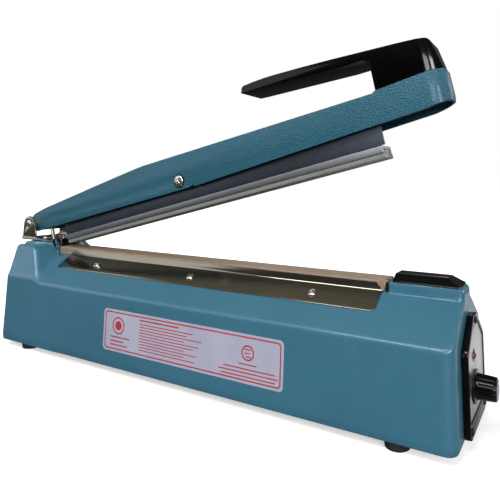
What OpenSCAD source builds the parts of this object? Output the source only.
// Hand impulse heat sealer with a 300 mm seal: millimetres, +X towards the control panel,
// +Y to the rear, +Z up. The feet stand on z = 0.

/* [Base] */
// Length of the housing along its lower edge
base_len = 400; // [390:1:420]
// Half width of the housing at its lower edge
base_half_w = 42.6; // [42:0.1:45]
// Height of the housing's lower edge above the table
base_z = 5.2; // [5:0.1:6]
// Half width of the housing at the crease
crease_half_w = 40.3; // [40:0.1:41]
// Height of the crease where the sides turn into the shoulders
crease_z = 58.8; // [57:0.1:60]
// Half width of the rail between the shoulders
rail_half_w = 10.2; // [10:0.1:10.5]
// Height of the rail's deck
rail_z = 78.9; // [78:0.1:79.5]
// Wall of the casting
wall = 3; // [2.5:0.1:3.5]
// Plan radius of the housing's corners
corner_r = 6.5; // [6:0.5:10]

/* [Seal line] */
// Left end of the platform bar
platform_x0 = -167; // [-168:0.5:-166]
// Right end of the platform bar
platform_x1 = 149.5; // [148:0.5:150]
// Height of the top of the cloth
platform_z = 85.8; // [85.6:0.1:86]
// Left end of the cover plates
plate_x0 = -150; // [-152:0.5:-146]
// Right end of the cover plates
plate_x1 = 148; // [146:0.5:149]
// Sheet thickness of the cover plates
plate_t = 0.8; // [0.6:0.1:1]
// Distance between the cover plate screws
plate_pitch = 104; // [96:1:108]

/* [Arm] */
// Position of the hinge pin along the base
pin_x = -199.5; // [-200:0.1:-199]
// Height of the hinge pin
pin_z = 106.2; // [106:0.1:106.6]
// Radius of the hinge pin
pin_r = 3; // [2.5:0.1:3.2]
// Angle of the open arm
open_angle = 13.5; // [12:0.1:14]
// Half width of the arm
arm_half_w = 13.3; // [13:0.1:14]
// Wall of the arm casting
arm_wall = 2; // [1.8:0.1:2.2]
// Distance from the hinge to the tip of the nose
arm_len = 401; // [398:1:404]
// Distance from the hinge to the jaw pin
jaw_pin_u = 186.3; // [184:0.1:188]
// Depth of the silicone's edge below the hinge
jaw_edge_w = -26.7; // [-26.8:0.1:-26.5]

/* [Knob] */
// Radius of the timer knob's barrel
knob_r = 6.6; // [6:0.1:7]
// Length of the timer knob
knob_len = 12; // [10:0.1:13]

/* [Hidden] */
$fn = 48;
blue = [0.25, 0.45, 0.56];
black = [0.04, 0.04, 0.045];
chrome = [0.72, 0.72, 0.7];
steel = [0.6, 0.6, 0.6];
aluminium = [0.75, 0.76, 0.78];
slate = [0.22, 0.22, 0.27];

half_len = base_len / 2;
shoulder_m = (rail_z - crease_z) / (crease_half_w - rail_half_w);
shoulder_angle = atan(shoulder_m);
block_x0 = 152.2;
block_z = 85.5;
hinge_block_z = 88;
pad_z = 90.2;
bracket_x0 = pin_x - 11.8;
bracket_x1 = -173.2;
bracket_t = 1.7;
bracket_z = 90.6;
ear_y = 19.4;
ear_r = 7.6;
end_lean = 2;
face_t = 4;
knob_y = -7;
knob_z = 31;
knob_x0 = half_len + 3;
lamp_y = -7;
lamp_z = 48.3;
lamp_r = 2.35;
rod_y = -10.3;
rod_t = 1.2;
rod_u = 19.5;
rod_w = -2.5;
spring_z0 = 22;
spring_z1 = 44;
foot_x = [-169.5, 165.5];
foot_y = 33;
post_x = 186;
post_y = 34;
transformer_x = 70;
board_x = 172;
panel_screws = [[0, 61.5], [-21, 6.3], [21, 6.3]];
// puts the middle of the whole machine at x = 0
frame_dx = -(bracket_x0 + knob_x0 + knob_len + 0.22) / 2;

function shoulder_z(w) = crease_z + shoulder_m * (crease_half_w - w);
// Point of the arm's own frame, at the open angle
function arm_x(u, w) = pin_x + u * cos(open_angle) - w * sin(open_angle);
function arm_z(u, w) = pin_z + u * sin(open_angle) + w * cos(open_angle);
function arc(cx, cy, r, a0, a1, n) =
    [for (i = [0 : n]) [cx + r * cos(a0 + (a1 - a0) * i / n), cy + r * sin(a0 + (a1 - a0) * i / n)]];
function mirrored(half) = concat(half, [for (i = [len(half) - 1 : -1 : 0]) [-half[i][0], half[i][1]]]);

// ---- helpers ----
// Outline in Y and Z, drawn along X
module along_x(points, x0, x1) {
    translate([x0, 0, 0]) rotate([90, 0, 90]) linear_extrude(x1 - x0) polygon(points);
}

// Outline in X and Z, drawn along Y
module along_y(points, y0, y1) {
    translate([0, y1, 0]) rotate([90, 0, 0]) linear_extrude(y1 - y0) polygon(points);
}

module block(x0, x1, y0, y1, z0, z1) {
    translate([x0, y0, z0]) cube([x1 - x0, y1 - y0, z1 - z0]);
}

// Round bar along Y
module rod_along_y(x, z, r, y0, y1) {
    translate([x, y1, z]) rotate([90, 0, 0]) cylinder(r = r, h = y1 - y0);
}

// Plan of the housing with its round corners
module rounded_plan(hx, hy, r, z0, z1) {
    block(-hx + r, hx - r, -hy, hy, z0, z1);
    block(-hx, hx, -hy + r, hy - r, z0, z1);
    for (sx = [-1, 1], sy = [-1, 1])
        translate([sx * (hx - r), sy * (hy - r), z0]) cylinder(r = r, h = z1 - z0);
}

module in_arm() {
    translate([pin_x, 0, pin_z]) rotate([0, -open_angle, 0]) children();
}

// Frame of the panel end: x outwards from the face, z up the face
module on_end() {
    translate([half_len, 0, base_z]) rotate([0, -end_lean, 0]) children();
}

// Frame of a shoulder: side -1 is the front; z points out of the shoulder
module on_shoulder(x, w, side) {
    translate([x, side * w, shoulder_z(w)]) rotate([-side * shoulder_angle, 0, 0]) children();
}

module cross_head(r, h) {
    difference() {
        cylinder(r1 = r, r2 = r * 0.72, h = h);
        translate([0, 0, h - 0.6]) {
            block(-r * 0.6, r * 0.6, -0.3, 0.3, 0, 1);
            block(-0.3, 0.3, -r * 0.6, r * 0.6, 0, 1);
        }
    }
}

module pillar(x, y, z0, z1, r) {
    translate([x, y, z0]) cylinder(r = r, h = z1 - z0);
}

// ---- base ----
side_outline = [
    [-half_len, base_z], [half_len, base_z], [half_len - 1.9, crease_z], [half_len - 3, pad_z],
    [-half_len + 3, pad_z], [-half_len + 1.9, crease_z]
];
body_outline = mirrored([
    [base_half_w, base_z], [crease_half_w, crease_z], [rail_half_w, rail_z]
]);
cavity_outline = mirrored([
    [base_half_w - wall - 0.1, base_z - 1], [crease_half_w - wall, crease_z - 1.2],
    [rail_half_w - 1.6, rail_z - wall]
]);
hinge_block_outline = mirrored([
    [crease_half_w - 0.2, crease_z - 4], [crease_half_w, crease_z], [31.5, hinge_block_z]
]);
hinge_block_side = [
    [-half_len, crease_z - 4], [-153, crease_z - 4], [-153, crease_z], [-171, hinge_block_z],
    [-half_len, hinge_block_z]
];

// Half-space that cuts the rear corner off the hinge block, moved inwards by inset
module rear_corner_cut(inset) {
    n = [496, 526, 813];
    d = norm(n);
    translate(n / d * (-6404 / d - inset)) rotate([0, acos(n[2] / d), atan2(n[1], n[0])])
        translate([-200, -200, -400]) cube([400, 400, 400]);
}

module base_outer() {
    intersection() {
        union() {
            along_x(body_outline, -half_len, half_len);
            block(block_x0, half_len - 3.4, -rail_half_w, rail_half_w, rail_z - 4, block_z);
            intersection() {
                along_x(hinge_block_outline, -half_len, -150);
                along_y(hinge_block_side, -base_half_w, base_half_w);
                rear_corner_cut(0);
            }
            // tapered pad under the hinge bracket
            intersection() {
                along_y([[-196, hinge_block_z - 2], [-171, hinge_block_z - 2], [-173.4, pad_z],
                    [-196, pad_z]], -26, 26);
                translate([0, 0, 80]) linear_extrude(12)
                    polygon([[-196, -26], [-189, -26], [-171, -13.6], [-171, 13.6], [-189, 26], [-196, 26]]);
            }
        }
        along_y(side_outline, -base_half_w, base_half_w);
        rounded_plan(half_len, base_half_w, corner_r, base_z, pad_z);
    }
}

module base_cavity() {
    along_x(cavity_outline, -half_len + wall + 0.3, half_len - wall - 1.2);
    intersection() {
        along_x(mirrored([[crease_half_w - wall, crease_z - 6], [26.2, hinge_block_z - wall]]),
            -half_len + wall + 1.6, -150);
        along_y([[-half_len, crease_z - 6], [-157, crease_z - 6], [-176.8, hinge_block_z - wall],
            [-half_len, hinge_block_z - wall]], -base_half_w, base_half_w);
        rear_corner_cut(wall + 0.4);
    }
}

module base_housing() {
    color(blue) difference() {
        union() {
            difference() {
                base_outer();
                base_cavity();
            }
            for (sx = [-1, 1], sy = [-1, 1])
                pillar(sx * post_x, sy * post_y, 7, 50, 5);
            for (sx = [-1, 1])
                pillar(sx * 60, post_y, 7, 40, 5);
            for (sx = [-1, 1])
                pillar(sx * 60, -post_y, 7, 40, 5);
        }
        for (sx = [-1, 1], sy = [-1, 1]) {
            pillar(sx * post_x, sy * post_y, 6, 20, 1.5);
            pillar(sx * 60, sy * post_y, 6, 20, 1.5);
        }
        // slot for the push rod
        block(-184, -161.5, rod_y - 1.5, rod_y + 0.95, 68, 96);
        // pocket for the hinge terminal
        block(-176.9, -150, -7.3, 3.3, platform_z + 0.4, 96);
        block(-172.1, -150, -7.3, 7.3, rail_z + 0.1, 96);
        // opening behind the control frame
        on_end() {
            block(-8, 2, -17, 17, 12, 55);
            for (p = panel_screws)
                translate([-8, p[0], p[1]]) rotate([0, 90, 0]) cylinder(r = 1.1, h = 12);
        }
        // bores for the cover plate screws
        for (side = [-1, 1], i = [-1 : 1])
            on_shoulder((plate_x0 + plate_x1) / 2 + i * plate_pitch, 17.5, side)
                translate([0, 0, -9]) cylinder(r = 1.5, h = 12);
        // bores for the bracket screws
        for (y = [-9, 9])
            pillar(-189, y, 80, 96, 1.9);
        // cord inlet in the hinge end
        translate([-half_len - 2, 0, 24]) rotate([0, 90, 0]) cylinder(r = 5, h = 12);
    }
}

module bottom_plate() {
    color(steel) difference() {
        rounded_plan(half_len - 6.5, base_half_w - 4.2, 7, 5.6, 6.8);
        for (sx = [-1, 1], sy = [-1, 1]) {
            pillar(sx * post_x, sy * post_y, 5, 8, 1.7);
            pillar(sx * 60, sy * post_y, 5, 8, 1.7);
        }
        for (x = foot_x, sy = [-1, 1])
            pillar(x, sy * foot_y, 5, 8, 1.7);
        for (i = [-4 : 4])
            block(transformer_x + i * 7 - 1.2, transformer_x + i * 7 + 1.2, -14, 14, 5, 8);
    }
}

module bottom_plate_screws() {
    color(steel)
        for (x = [-post_x, -60, 60, post_x], sy = [-1, 1])
            translate([x, sy * post_y, 5.55]) {
                rotate([180, 0, 0]) cross_head(3, 1.6);
                translate([0, 0, -0.1]) cylinder(r = 1.45, h = 12);
            }
}

module rubber_feet() {
    color(black)
        for (x = foot_x, sy = [-1, 1])
            translate([x, sy * foot_y, 0]) difference() {
                union() {
                    cylinder(r1 = 7.2, r2 = 8, h = 5.1);
                    cylinder(r = 6, h = 5.55);
                }
                translate([0, 0, -1]) cylinder(r = 3.6, h = 4);
                cylinder(r = 1.6, h = 8);
            }
}

module foot_screws() {
    color(steel)
        for (x = foot_x, sy = [-1, 1])
            translate([x, sy * foot_y, 0]) {
                translate([0, 0, 1.3]) cylinder(r = 3, h = 1.65);
                translate([0, 0, 2.9]) cylinder(r = 1.5, h = 6.5);
                translate([0, 0, 6.85]) cylinder(r = 2.9, h = 2, $fn = 6);
            }
}

module platform_bar() {
    color(aluminium) block(platform_x0, platform_x1, -8.7, 8.7, rail_z + 0.02, platform_z - 1.2);
}

module insulating_strip() {
    color([0.85, 0.83, 0.75])
        block(platform_x0, platform_x1, -6, 6, platform_z - 1.18, platform_z - 0.72);
}

module heating_wire() {
    color([0.55, 0.5, 0.45])
        block(platform_x0 - 1, platform_x1, -1.2, 1.2, platform_z - 0.7, platform_z - 0.36);
}

module ptfe_cloth() {
    color([0.62, 0.47, 0.34]) difference() {
        block(platform_x0 + 0.5, platform_x1 - 0.5, -9.2, 9.2, rail_z + 0.3, platform_z);
        block(platform_x0 - 5, platform_x1 + 5, -8.8, 8.8, rail_z - 1, platform_z - 0.34);
    }
}

module cover_plate(side) {
    w0 = 9.4;
    w1 = w0 + plate_t;
    w2 = 24.6;
    lift = plate_t / cos(shoulder_angle);
    outline = [
        [w0, platform_z - 1.2], [w1, platform_z - 1.2], [w1, shoulder_z(w1) + lift + 0.04],
        [w2, shoulder_z(w2) + lift + 0.04], [w2 - 0.45, shoulder_z(w2 - 0.45) + 0.04],
        [w0, shoulder_z(w0) + 0.04]
    ];
    color(chrome) difference() {
        along_x([for (p = outline) [side * p[0], p[1]]], plate_x0, plate_x1);
        for (i = [-1 : 1])
            on_shoulder((plate_x0 + plate_x1) / 2 + i * plate_pitch, 17.5, side)
                translate([0, 0, -1]) cylinder(r = 1.7, h = 6);
    }
}

module front_cover_plate() { cover_plate(-1); }
module rear_cover_plate() { cover_plate(1); }

module cover_plate_screws() {
    color(chrome)
        for (side = [-1, 1], i = [-1 : 1])
            on_shoulder((plate_x0 + plate_x1) / 2 + i * plate_pitch, 17.5, side) {
                translate([0, 0, plate_t + 0.06]) cross_head(2.9, 1.3);
                translate([0, 0, -6.5]) cylinder(r = 1.42, h = 7.6);
            }
}

module hinge_terminal() {
    color(black) difference() {
        union() {
            block(-176.6, -168.4, -7, 3, platform_z + 0.6, 92.4);
            block(-171.8, -168, -7, 7, rail_z + 0.2, 87.4);
            block(-170.9, -164.2, 2, 8.8, platform_z + 0.6, 89.2);
        }
        pillar(-172.5, -2, 85, 95, 1.1);
        pillar(-167.4, 5.4, 84, 95, 1.1);
    }
}

module panel_terminal() {
    color(black) block(platform_x1 + 0.2, block_x0 - 0.2, -8.8, 8.8, rail_z + 0.05, 84.9);
}

module wire_clamp_screws() {
    color(steel) {
        translate([-172.5, -2, 88.5]) {
            cylinder(r = 1.05, h = 4);
            translate([0, 0, 3.95]) cross_head(2.2, 1);
        }
        translate([-167.4, 5.4, 87.2]) {
            cylinder(r = 1.05, h = 2.1);
            translate([0, 0, 2.05]) cross_head(2, 0.9);
        }
    }
}

module top_cap() {
    x0 = 154.5;
    x1 = 194.8;
    run = 7.5;
    color(black) intersection() {
        along_x(mirrored([[rail_half_w - 0.1, block_z + 0.02], [rail_half_w - 0.1, block_z + 0.6],
            [5.9, 90.6]]), x0, x1);
        along_y([[x0, block_z], [x1, block_z], [x1, block_z + 0.6], [x1 - run, 90.6], [x0 + 0.8, 90.6]],
            -12, 12);
    }
}

module ear_outline(y0, y1) {
    // ears stand almost straight between the round top and the flared foot
    tangent = 8;
    along_y(concat([[bracket_x0, bracket_z + 1.8], [pin_x - ear_r - 1.4, bracket_z + 3.6]],
        arc(pin_x, pin_z - 1, ear_r, 180 - tangent, tangent, 16),
        [[pin_x + ear_r + 1.4, bracket_z + 3.6], [pin_x + 12.2, bracket_z + 1.8],
        [pin_x + 12.2, bracket_z], [bracket_x0, bracket_z]]), y0, y1);
}

module hinge_bracket() {
    color(chrome) difference() {
        union() {
            ear_outline(-ear_y, -ear_y + bracket_t);
            ear_outline(ear_y - bracket_t, ear_y);
            block(bracket_x0, bracket_x1, -ear_y, ear_y, bracket_z, bracket_z + bracket_t);
        }
        rod_along_y(pin_x, pin_z, pin_r + 0.03, -30, 30);
        for (y = [-9, 9])
            pillar(-189, y, 88, 96, 2.1);
        // notches for the push rod and the hinge terminal
        block(-184, -170, rod_y - 1.5, rod_y + 0.95, 88, 94);
        block(-177.2, -170, -7.5, 3.5, 88, 94);
        // small locating hole, in the rear ear only
        rod_along_y(pin_x - 4.9, 95.4, 1.1, 10, 30);
    }
}

module hinge_gasket() {
    color(black) difference() {
        translate([0, 0, pad_z + 0.02]) linear_extrude(bracket_z - pad_z - 0.04)
            polygon([[-195.8, -19], [-183, -19], [-173.4, -13.4], [-173.4, 13.4], [-183, 19], [-195.8, 19]]);
        for (y = [-9, 9])
            pillar(-189, y, 88, 96, 2.1);
        block(-184, -170, rod_y - 1.5, rod_y + 0.95, 88, 94);
        block(-177.2, -170, -7.5, 3.5, 88, 94);
    }
}

module hinge_bracket_screws() {
    color(steel)
        for (y = [-9, 9])
            translate([-189, y, 0]) {
                translate([0, 0, bracket_z + bracket_t + 0.03]) cross_head(3.4, 1.6);
                translate([0, 0, 82]) cylinder(r = 1.85, h = bracket_z + bracket_t - 81.9);
            }
}

module hinge_pin() {
    color(chrome) {
        rod_along_y(pin_x, pin_z, pin_r, -ear_y - 0.1, ear_y + 0.1);
        for (s = [-1, 1])
            translate([pin_x, s * (ear_y + 0.05), pin_z]) rotate([-s * 90, 0, 0])
                cylinder(r1 = pin_r + 1.2, r2 = pin_r, h = 1.2);
    }
}

// House-shaped outline of the control frame, in Y and height up the face
function house(inset) = mirrored([
    [25.6 - inset, 1.6 + inset], [25.6 - inset, 49 - inset * 0.3], [5.2 - inset * 0.3, 64.8 - inset]
]);

module control_frame() {
    color(black) on_end() difference() {
        along_x(house(0), 0.05, face_t);
        along_x(mirrored([[23.2, 10.4], [23.2, 47], [7.6, 59.2]]), face_t - 1.2, face_t + 1);
        translate([-1, knob_y, knob_z - base_z]) rotate([0, 90, 0]) cylinder(r = 4.6, h = 8);
        translate([-1, lamp_y, lamp_z - base_z]) rotate([0, 90, 0]) cylinder(r = lamp_r + 0.1, h = 8);
        for (p = panel_screws)
            translate([-1, p[0], p[1]]) rotate([0, 90, 0]) cylinder(r = 1.25, h = 8);
    }
}

module control_plate() {
    color([0.62, 0.62, 0.62]) on_end() difference() {
        along_x(mirrored([[22.3, 11.2], [22.3, 46.5], [7.3, 58.3]]), face_t - 1.15, face_t - 0.5);
        translate([0, knob_y, knob_z - base_z]) rotate([0, 90, 0]) cylinder(r = 4.7, h = 8);
        translate([0, lamp_y, lamp_z - base_z]) rotate([0, 90, 0]) cylinder(r = lamp_r + 0.1, h = 8);
    }
}

module control_screws() {
    color(steel) on_end()
        for (p = panel_screws)
            translate([0, p[0], p[1]]) rotate([0, 90, 0]) {
                translate([0, 0, face_t + 0.02]) cross_head(2.1, 0.8);
                translate([0, 0, -5]) cylinder(r = 1.05, h = face_t + 5.1);
            }
}

module indicator_lamp() {
    color([0.45, 0.03, 0.1]) on_end() translate([0, lamp_y, lamp_z - base_z]) rotate([0, 90, 0]) {
        cylinder(r = lamp_r, h = face_t - 1);
        translate([0, 0, face_t - 1.3]) sphere(r = lamp_r, $fn = 48);
        translate([0, 0, -2]) cylinder(r = lamp_r + 1, h = 2.03);
    }
}

module timer_board() {
    color([0.1, 0.35, 0.18]) difference() {
        block(board_x, board_x + 1.6, -26, 26, 14, 52);
        translate([board_x - 1, knob_y, knob_z]) rotate([0, 90, 0]) cylinder(r = 2.9, h = 4);
    }
}

module board_components() {
    color([0.15, 0.15, 0.2]) {
        block(board_x - 14, board_x - 0.02, -24, -10, 18, 32);
        for (z = [22, 33, 44])
            translate([board_x - 10, 15, z]) rotate([0, 90, 0]) cylinder(r = 4, h = 9.98);
        block(board_x - 6, board_x - 0.02, -22, -12, 38, 46);
    }
}

module board_pillars() {
    color(steel)
        for (y = [-22.5, 22.5], z = [16.5, 49])
            translate([board_x + 1.62, y, z]) rotate([0, 90, 0])
                cylinder(r = 2.2, h = half_len - wall - 1.22 - board_x - 1.62);
}

module timer_pot() {
    color([0.35, 0.36, 0.4]) translate([0, knob_y, knob_z]) rotate([0, 90, 0]) difference() {
        union() {
            translate([0, 0, board_x + 1.62]) cylinder(r = 8, h = 9);
            translate([0, 0, board_x + 10.6]) cylinder(r = 3.6, h = 19.6);
        }
        translate([0, 0, board_x + 5]) cylinder(r = 3.05, h = 40);
    }
}

module transformer_core() {
    color([0.3, 0.3, 0.32]) difference() {
        block(transformer_x - 27, transformer_x + 27, -22, 22, 6.85, 52);
        for (s = [-1, 1])
            block(transformer_x + s * 13.5 - 4.5, transformer_x + s * 13.5 + 4.5, -23, 23, 16, 43.5);
        for (sx = [-1, 1], sy = [-1, 1])
            pillar(transformer_x + sx * 22.8, sy * 17, 6, 53, 1.9);
    }
}

module transformer_coil() {
    color([0.55, 0.25, 0.12]) difference() {
        block(transformer_x - 17.7, transformer_x + 17.7, -28, 28, 16.3, 43.2);
        block(transformer_x - 9.3, transformer_x + 9.3, -22.3, 22.3, 16, 44);
        for (s = [-1, 1])
            block(transformer_x + s * 23, transformer_x + s * 18, -22.3, 22.3, 15, 45);
    }
}

module transformer_screws() {
    color(steel)
        for (sx = [-1, 1], sy = [-1, 1])
            translate([transformer_x + sx * 22.8, sy * 17, 0]) {
                pillar(0, 0, 6.9, 54.2, 1.85);
                translate([0, 0, 52.1]) cylinder(r = 3.4, h = 2.6, $fn = 6);
            }
}

// Return spring stands on this seat; the rod's collar presses it
rod_foot_x = arm_x(rod_u, rod_w) + 15;

module spring_seat() {
    color(steel) difference() {
        union() {
            block(rod_foot_x - 8, rod_foot_x + 8, rod_y - 8, rod_y + 8, spring_z0 - 1.6, spring_z0);
            block(rod_foot_x - 8, rod_foot_x - 6.4, rod_y - 8, rod_y + 8, 6.85, spring_z0 - 1.58);
            block(rod_foot_x - 8, rod_foot_x + 8, rod_y - 8, rod_y + 8, 6.85, 8.2);
        }
        pillar(rod_foot_x, rod_y, 18, 24, 1.6);
    }
}

spring_turns = 6;
spring_wire_r = 0.55;
spring_coil_r = 4;
spring_steps = 20;
spring_sides = 8;

function spring_ring(i) = let (
    a = i * 360 / spring_steps,
    rise = spring_z1 - spring_z0 - 2 * spring_wire_r - 0.1,
    z = spring_z0 + spring_wire_r + 0.05 + rise * i / (spring_turns * spring_steps)
) [for (j = [0 : spring_sides - 1]) let (b = j * 360 / spring_sides, r = spring_coil_r + spring_wire_r * cos(b))
    [r * cos(a), r * sin(a), z + spring_wire_r * sin(b)]];

module return_spring() {
    n = spring_turns * spring_steps;
    m = spring_sides;
    points = [for (i = [0 : n]) each spring_ring(i)];
    walls = [for (i = [0 : n - 1], j = [0 : m - 1]) let (a = i * m + j, b = i * m + (j + 1) % m)
        each [[a, b, b + m], [a, b + m, a + m]]];
    ends = [[for (j = [m - 1 : -1 : 0]) j], [for (j = [0 : m - 1]) n * m + j]];
    color(steel) translate([rod_foot_x, rod_y, 0]) polyhedron(points, concat(walls, ends), convexity = 10);
}

module push_rod() {
    x_eye = arm_x(rod_u, rod_w);
    z_eye = arm_z(rod_u, rod_w);
    color(chrome) difference() {
        union() {
            rod_along_y(x_eye, z_eye, 3.4, rod_y - rod_t / 2, rod_y + rod_t / 2);
            along_y([
                [x_eye - 2.2, z_eye - 1], [x_eye + 1.8, z_eye + 0.6], [rod_foot_x - 1.4, 72],
                [rod_foot_x + 1.4, 60], [rod_foot_x + 1.4, 46], [rod_foot_x - 1.4, 46],
                [rod_foot_x - 1.4, 60], [rod_foot_x - 5.2, 71]
            ], rod_y - rod_t / 2, rod_y + rod_t / 2);
            pillar(rod_foot_x, rod_y, 13, 48, 1.5);
        }
        rod_along_y(x_eye, z_eye, 1.8, -20, 0);
    }
}

module rod_collar() {
    color(steel) difference() {
        union() {
            pillar(rod_foot_x, rod_y, spring_z1, spring_z1 + 1.8, 5.4);
            block(rod_foot_x, rod_foot_x + 17.4, rod_y - 2.4, rod_y + 2.4, spring_z1, spring_z1 + 1.8);
        }
        pillar(rod_foot_x, rod_y, spring_z1 - 1, spring_z1 + 3, 1.52);
    }
}

module switch_bracket() {
    color(steel) {
        block(rod_foot_x + 9.5, rod_foot_x + 34, rod_y - 7, rod_y + 7, 6.85, 8.2);
        block(rod_foot_x + 32.4, rod_foot_x + 34, rod_y - 7, rod_y + 7, 8.18, 40);
    }
}

module switch_body() {
    color(black) difference() {
        block(rod_foot_x + 12.4, rod_foot_x + 32.3, rod_y - 4, rod_y + 4, 24, 36);
        block(rod_foot_x + 13.6, rod_foot_x + 16.6, rod_y - 1.6, rod_y + 1.6, 30, 37);
    }
}

module switch_plunger() {
    color([0.7, 0.1, 0.1])
        block(rod_foot_x + 13.9, rod_foot_x + 16.3, rod_y - 1.3, rod_y + 1.3, 32.5, 40.7);
}

module cord_grommet() {
    color(black) translate([-half_len - 1.6, 0, 24]) rotate([0, 90, 0]) difference() {
        union() {
            cylinder(r = 7, h = 1.9);
            cylinder(r = 4.95, h = 7);
        }
        translate([0, 0, -1]) cylinder(r = 3.2, h = 10);
    }
}

module front_label() {
    // follows the draft of the front wall
    m = (base_half_w - crease_half_w) / (crease_z - base_z);
    y0 = base_half_w - m * (17.5 - base_z) + 0.02;
    y1 = base_half_w - m * (48.5 - base_z) + 0.02;
    color([0.78, 0.76, 0.82])
        along_x([[-y0, 17.5], [-y1, 48.5], [-y1 - 0.18, 48.5], [-y0 - 0.18, 17.5]], -65, 97);
}

// ---- arm, in its own frame: u along the arm, w up from the hinge ----
arm_outline = concat(
    arc(3.6, 0, 8.8, 250, 102, 14),
    [[17.4, 10.6], [150.5, 18.3], [354.6, 13.9], [356.4, 15], [384, 15.9], [arm_len - 1.4, 16.5],
        [arm_len - 0.1, 14.6], [arm_len, 2], [arm_len - 1.4, -3.2], [384.7, -5.3], [200.7, -10.2],
        [199, -8.6], [195.4, -9.9]]
);
arm_hollow = [
    [-1.5, -12], [-1.5, 5.4], [17.6, 8.5], [150.4, 16.2], [354.6, 11.8], [arm_len - 2.4, 13.6],
    [arm_len - 2.1, -12]
];

// Plan of the arm: straight sides and a round nose
module nose_plan(half_w, tip, w0, w1) {
    block(-20, tip - half_w, -half_w, half_w, w0, w1);
    translate([tip - half_w, 0, w0]) cylinder(r = half_w, h = w1 - w0, $fn = 96);
}

module arm_shell() {
    color(blue) in_arm() difference() {
        intersection() {
            along_y(arm_outline, -arm_half_w, arm_half_w);
            nose_plan(arm_half_w, arm_len, -20, 40);
        }
        intersection() {
            along_y(arm_hollow, -arm_half_w, arm_half_w);
            nose_plan(arm_half_w - arm_wall, arm_len - arm_wall, -20, 40);
        }
        rod_along_y(0, 0, 4.25, -20, 20);
        rod_along_y(jaw_pin_u, -3, pin_r + 0.03, -20, 20);
        rod_along_y(rod_u, rod_w, 1.55, -12.6, 12.6);
        for (u = [368, 386])
            pillar(u, 0, 8, 20, 2.1);
    }
}

module arm_bushes() {
    color([0.7, 0.6, 0.35]) in_arm()
        for (s = [-1, 1])
            mirror([0, s < 0 ? 1 : 0, 0]) difference() {
                union() {
                    rod_along_y(0, 0, 4.2, arm_half_w - 2.2, arm_half_w + 1);
                    rod_along_y(0, 0, 5.6, arm_half_w + 0.05, arm_half_w + 3.8);
                }
                rod_along_y(0, 0, pin_r + 0.06, 0, 30);
            }
}

grip_outline = concat(
    [[357, 15.08], [384, 15.96], [arm_len - 1.6, 16.56], [arm_len - 4.8, 34.2]],
    arc(arm_len - 8.1, 33.4, 3.4, 15, 78, 5),
    [[386, 37.9], [376, 39.3], [355, 42], [332, 44.8], [308, 47.5], [289, 49.4], [280, 50.1], [270, 50.4]],
    arc(261.6, 47.6, 2.7, 88, 185, 6),
    [[258, 45.6], [266.2, 44.6], [344.3, 36.6], [356.2, 35.4], [357.6, 33.8]]
);

module handle() {
    color(black) in_arm() difference() {
        intersection() {
            along_y(grip_outline, -arm_half_w + 0.2, arm_half_w - 0.2);
            nose_plan(arm_half_w - 0.2, arm_len - 0.2, 10, 60);
        }
        for (u = [368, 386])
            pillar(u, 0, 10, 28, 1.5);
    }
}

module handle_screws() {
    color(steel) in_arm()
        for (u = [368, 386]) {
            pillar(u, 0, 11.6, 27, 1.45);
            translate([u, 0, 12.15 + (u - 368) * 0.04]) rotate([180, 0, 0]) cylinder(r = 3.2, h = 1.8);
        }
}

module jaw_pin() {
    color(chrome) in_arm() {
        rod_along_y(jaw_pin_u, -3, pin_r, -arm_half_w - 0.3, arm_half_w + 4.4);
        translate([jaw_pin_u, -arm_half_w - 0.04, -3]) rotate([90, 0, 0]) cross_head(4.6, 1.7);
    }
}

module jaw_pin_nut() {
    color(steel) in_arm() difference() {
        translate([jaw_pin_u, arm_half_w + 0.05, -3]) rotate([-90, 0, 0]) cylinder(r = 5.4, h = 3.6, $fn = 6);
        rod_along_y(jaw_pin_u, -3, pin_r + 0.02, 0, 30);
    }
}

module lift_pin() {
    color(steel) in_arm() rod_along_y(rod_u, rod_w, 1.53, -12.5, 12.5);
}

// ---- jaw ----
jaw_u0 = 37;
jaw_u1 = 353.9;
rail_u1 = 351.7;
strip_u1 = 352.4;
// the channel's web and rear wall stop short of its right end
cut_u = jaw_u1 - 12;

module jaw_channel() {
    color(slate) in_arm() difference() {
        union() {
            along_y([[jaw_u0, -18.5], [jaw_u1, -18.5], [jaw_u1, -6.2], [jaw_u0 + 3, -6.2], [jaw_u0, -9]],
                -8.6, 8.6);
            along_y(concat([[176, -6.4]], arc(jaw_pin_u, -3, 6.2, 150, 30, 8), [[196.6, -6.4]]), -8.6, 8.6);
        }
        along_y([[jaw_u0 - 1, -25], [jaw_u1 + 1, -25], [jaw_u1 + 1, -7.8], [jaw_u0 - 1, -7.8]], -7.2, 7.2);
        along_y([[170, -9], [203, -9], [203, 10], [170, 10]], -7.2, 7.2);
        along_y([[cut_u, -25], [jaw_u1 + 1, -25], [jaw_u1 + 1, 0], [cut_u, 0]], -7.2, 10);
        rod_along_y(jaw_pin_u, -3, pin_r + 0.06, -20, 20);
    }
}

module jaw_rail() {
    color([0.5, 0.5, 0.52]) in_arm() difference() {
        union() {
            along_y([[jaw_u0, -23.4], [rail_u1, -23.4], [rail_u1, -18.55], [jaw_u0, -18.55]], -8.3, 8.3);
            along_y([[jaw_u0, -18.6], [cut_u, -18.6], [cut_u, -10], [jaw_u0, -10]], -7.15, 7.15);
        }
        along_y([[jaw_u0 - 1, -24], [jaw_u1 + 3, -24], [jaw_u1 + 3, -20.6], [jaw_u0 - 1, -20.6]], -5.1, 5.1);
    }
}

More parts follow.
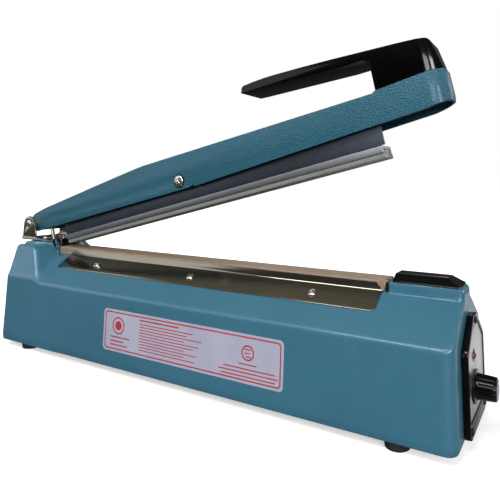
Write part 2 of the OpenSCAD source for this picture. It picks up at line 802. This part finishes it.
module silicone_strip() {
    color([0.75, 0.76, 0.8]) in_arm() {
        along_y([[jaw_u0 - 0.3, -23.44], [strip_u1, -23.44], [strip_u1, jaw_edge_w],
            [jaw_u0 - 0.3, jaw_edge_w]], -7.6, 7.6);
        along_y([[jaw_u0 - 0.3, -23.5], [strip_u1, -23.5], [strip_u1, -20.7], [jaw_u0 - 0.3, -20.7]],
            -5, 5);
    }
}

// ---- timer knob ----
module timer_knob() {
    color(black) translate([knob_x0, knob_y, knob_z]) rotate([0, 90, 0]) difference() {
        union() {
            cylinder(r1 = 9.5, r2 = 9.3, h = 0.9);
            cylinder(r1 = knob_r, r2 = knob_r - 0.5, h = knob_len);
            translate([-knob_r - 0.7, -1, 1]) cube([3, 2, knob_len - 1.4]);
        }
        for (i = [1 : 11])
            rotate([0, 0, i * 30 + 180]) translate([knob_r + 0.75, 0, 2.4]) cylinder(r = 1.3, h = knob_len, $fn = 16);
        translate([0, 0, -1]) cylinder(r = 3.04, h = 6.4);
        translate([0, 0, knob_len - 0.5]) cylinder(r = 4.9, h = 2);
    }
}

module knob_cap() {
    color([0.45, 0.46, 0.48]) translate([knob_x0 + knob_len - 0.48, knob_y, knob_z]) rotate([0, 90, 0])
        cylinder(r = 4.85, h = 0.7);
}

module knob_shaft() {
    color(steel) translate([board_x + 6, knob_y, knob_z]) rotate([0, 90, 0])
        cylinder(r = 3, h = knob_x0 + 5.2 - board_x - 6);
}

module placed() {
    translate([frame_dx, 0, 0]) children();
}

placed() base_housing();
placed() bottom_plate();
placed() bottom_plate_screws();
placed() rubber_feet();
placed() foot_screws();
placed() platform_bar();
placed() insulating_strip();
placed() heating_wire();
placed() ptfe_cloth();
placed() front_cover_plate();
placed() rear_cover_plate();
placed() cover_plate_screws();
placed() hinge_terminal();
placed() panel_terminal();
placed() wire_clamp_screws();
placed() top_cap();
placed() hinge_bracket();
placed() hinge_gasket();
placed() hinge_bracket_screws();
placed() hinge_pin();
placed() control_frame();
placed() control_plate();
placed() control_screws();
placed() indicator_lamp();
placed() timer_board();
placed() board_components();
placed() board_pillars();
placed() timer_pot();
placed() transformer_core();
placed() transformer_coil();
placed() transformer_screws();
placed() switch_body();
placed() switch_bracket();
placed() spring_seat();
placed() cord_grommet();
placed() front_label();
placed() arm_shell();
placed() arm_bushes();
placed() handle();
placed() handle_screws();
placed() jaw_pin();
placed() jaw_pin_nut();
placed() lift_pin();
placed() jaw_channel();
placed() jaw_rail();
placed() silicone_strip();
placed() push_rod();
placed() rod_collar();
placed() return_spring();
placed() switch_plunger();
placed() timer_knob();
placed() knob_cap();
placed() knob_shaft();
